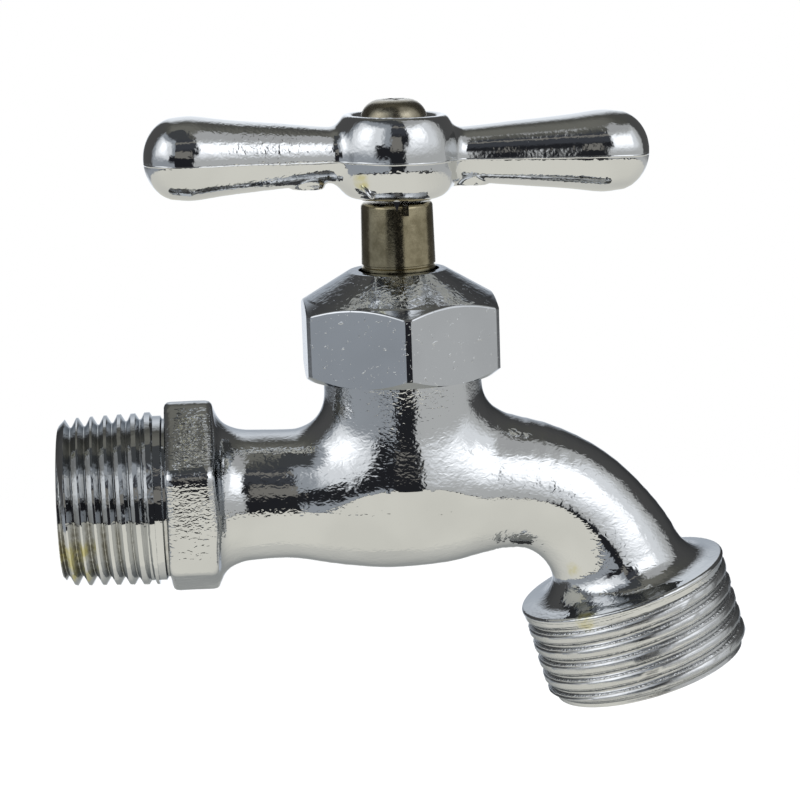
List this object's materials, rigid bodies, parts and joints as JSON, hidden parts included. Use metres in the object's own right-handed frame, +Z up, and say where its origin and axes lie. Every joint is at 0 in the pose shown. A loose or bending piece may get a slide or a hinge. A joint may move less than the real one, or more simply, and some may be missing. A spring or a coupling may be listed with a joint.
{
  "type": "hose bib",
  "caption": "Chrome-plated compression hose bib with a tee handle, a male pipe-thread inlet and a downward male garden-hose outlet.",
  "frame": {"origin": "centre of the inlet's end face, on the inlet thread's axis", "axes": "+X along the inlet into the body, +Z up along the stem, the outlet in the XZ plane"},
  "size_m": [0.0895, 0.028, 0.0804],
  "materials": {
    "chrome_body": "polished",
    "chrome_nut": "polished",
    "chrome_handle": "polished",
    "nickel_stem": "satin",
    "nickel_screw": "satin",
    "brass_disc": "satin",
    "brass_gland": "satin",
    "brass_washer": "satin",
    "brass_small_screw": "satin",
    "graphite_packing": "matte",
    "black_rubber": "matte"
  },
  "bodies": {
    "valve_body": {"valve_body": "chrome_body", "packing_nut": "chrome_nut", "gland_follower": "brass_gland", "packing_ring": "graphite_packing", "packing_washer": "brass_washer"},
    "seat_disc": {"disc_holder": "brass_disc", "seat_washer": "black_rubber", "washer_screw": "brass_small_screw"},
    "spindle": {"stem": "nickel_stem", "handle": "chrome_handle", "handle_screw": "nickel_screw"}
  },
  "joints": [
    {"name": "stem_lift", "type": "slide", "parent": "valve_body", "child": "seat_disc", "axis": [0, 0, 1], "range_m": [0, 0.00636]},
    {"name": "handle_turn", "type": "hinge", "parent": "seat_disc", "child": "spindle", "pos_m": [0.0451, 0, 0.0435], "axis": [0, 0, 1], "range_deg": [0, 900]}
  ],
  "couplings": [
    {"joint": "stem_lift", "follows": "handle_turn", "m_per_rad": 0.00040425}
  ]
}
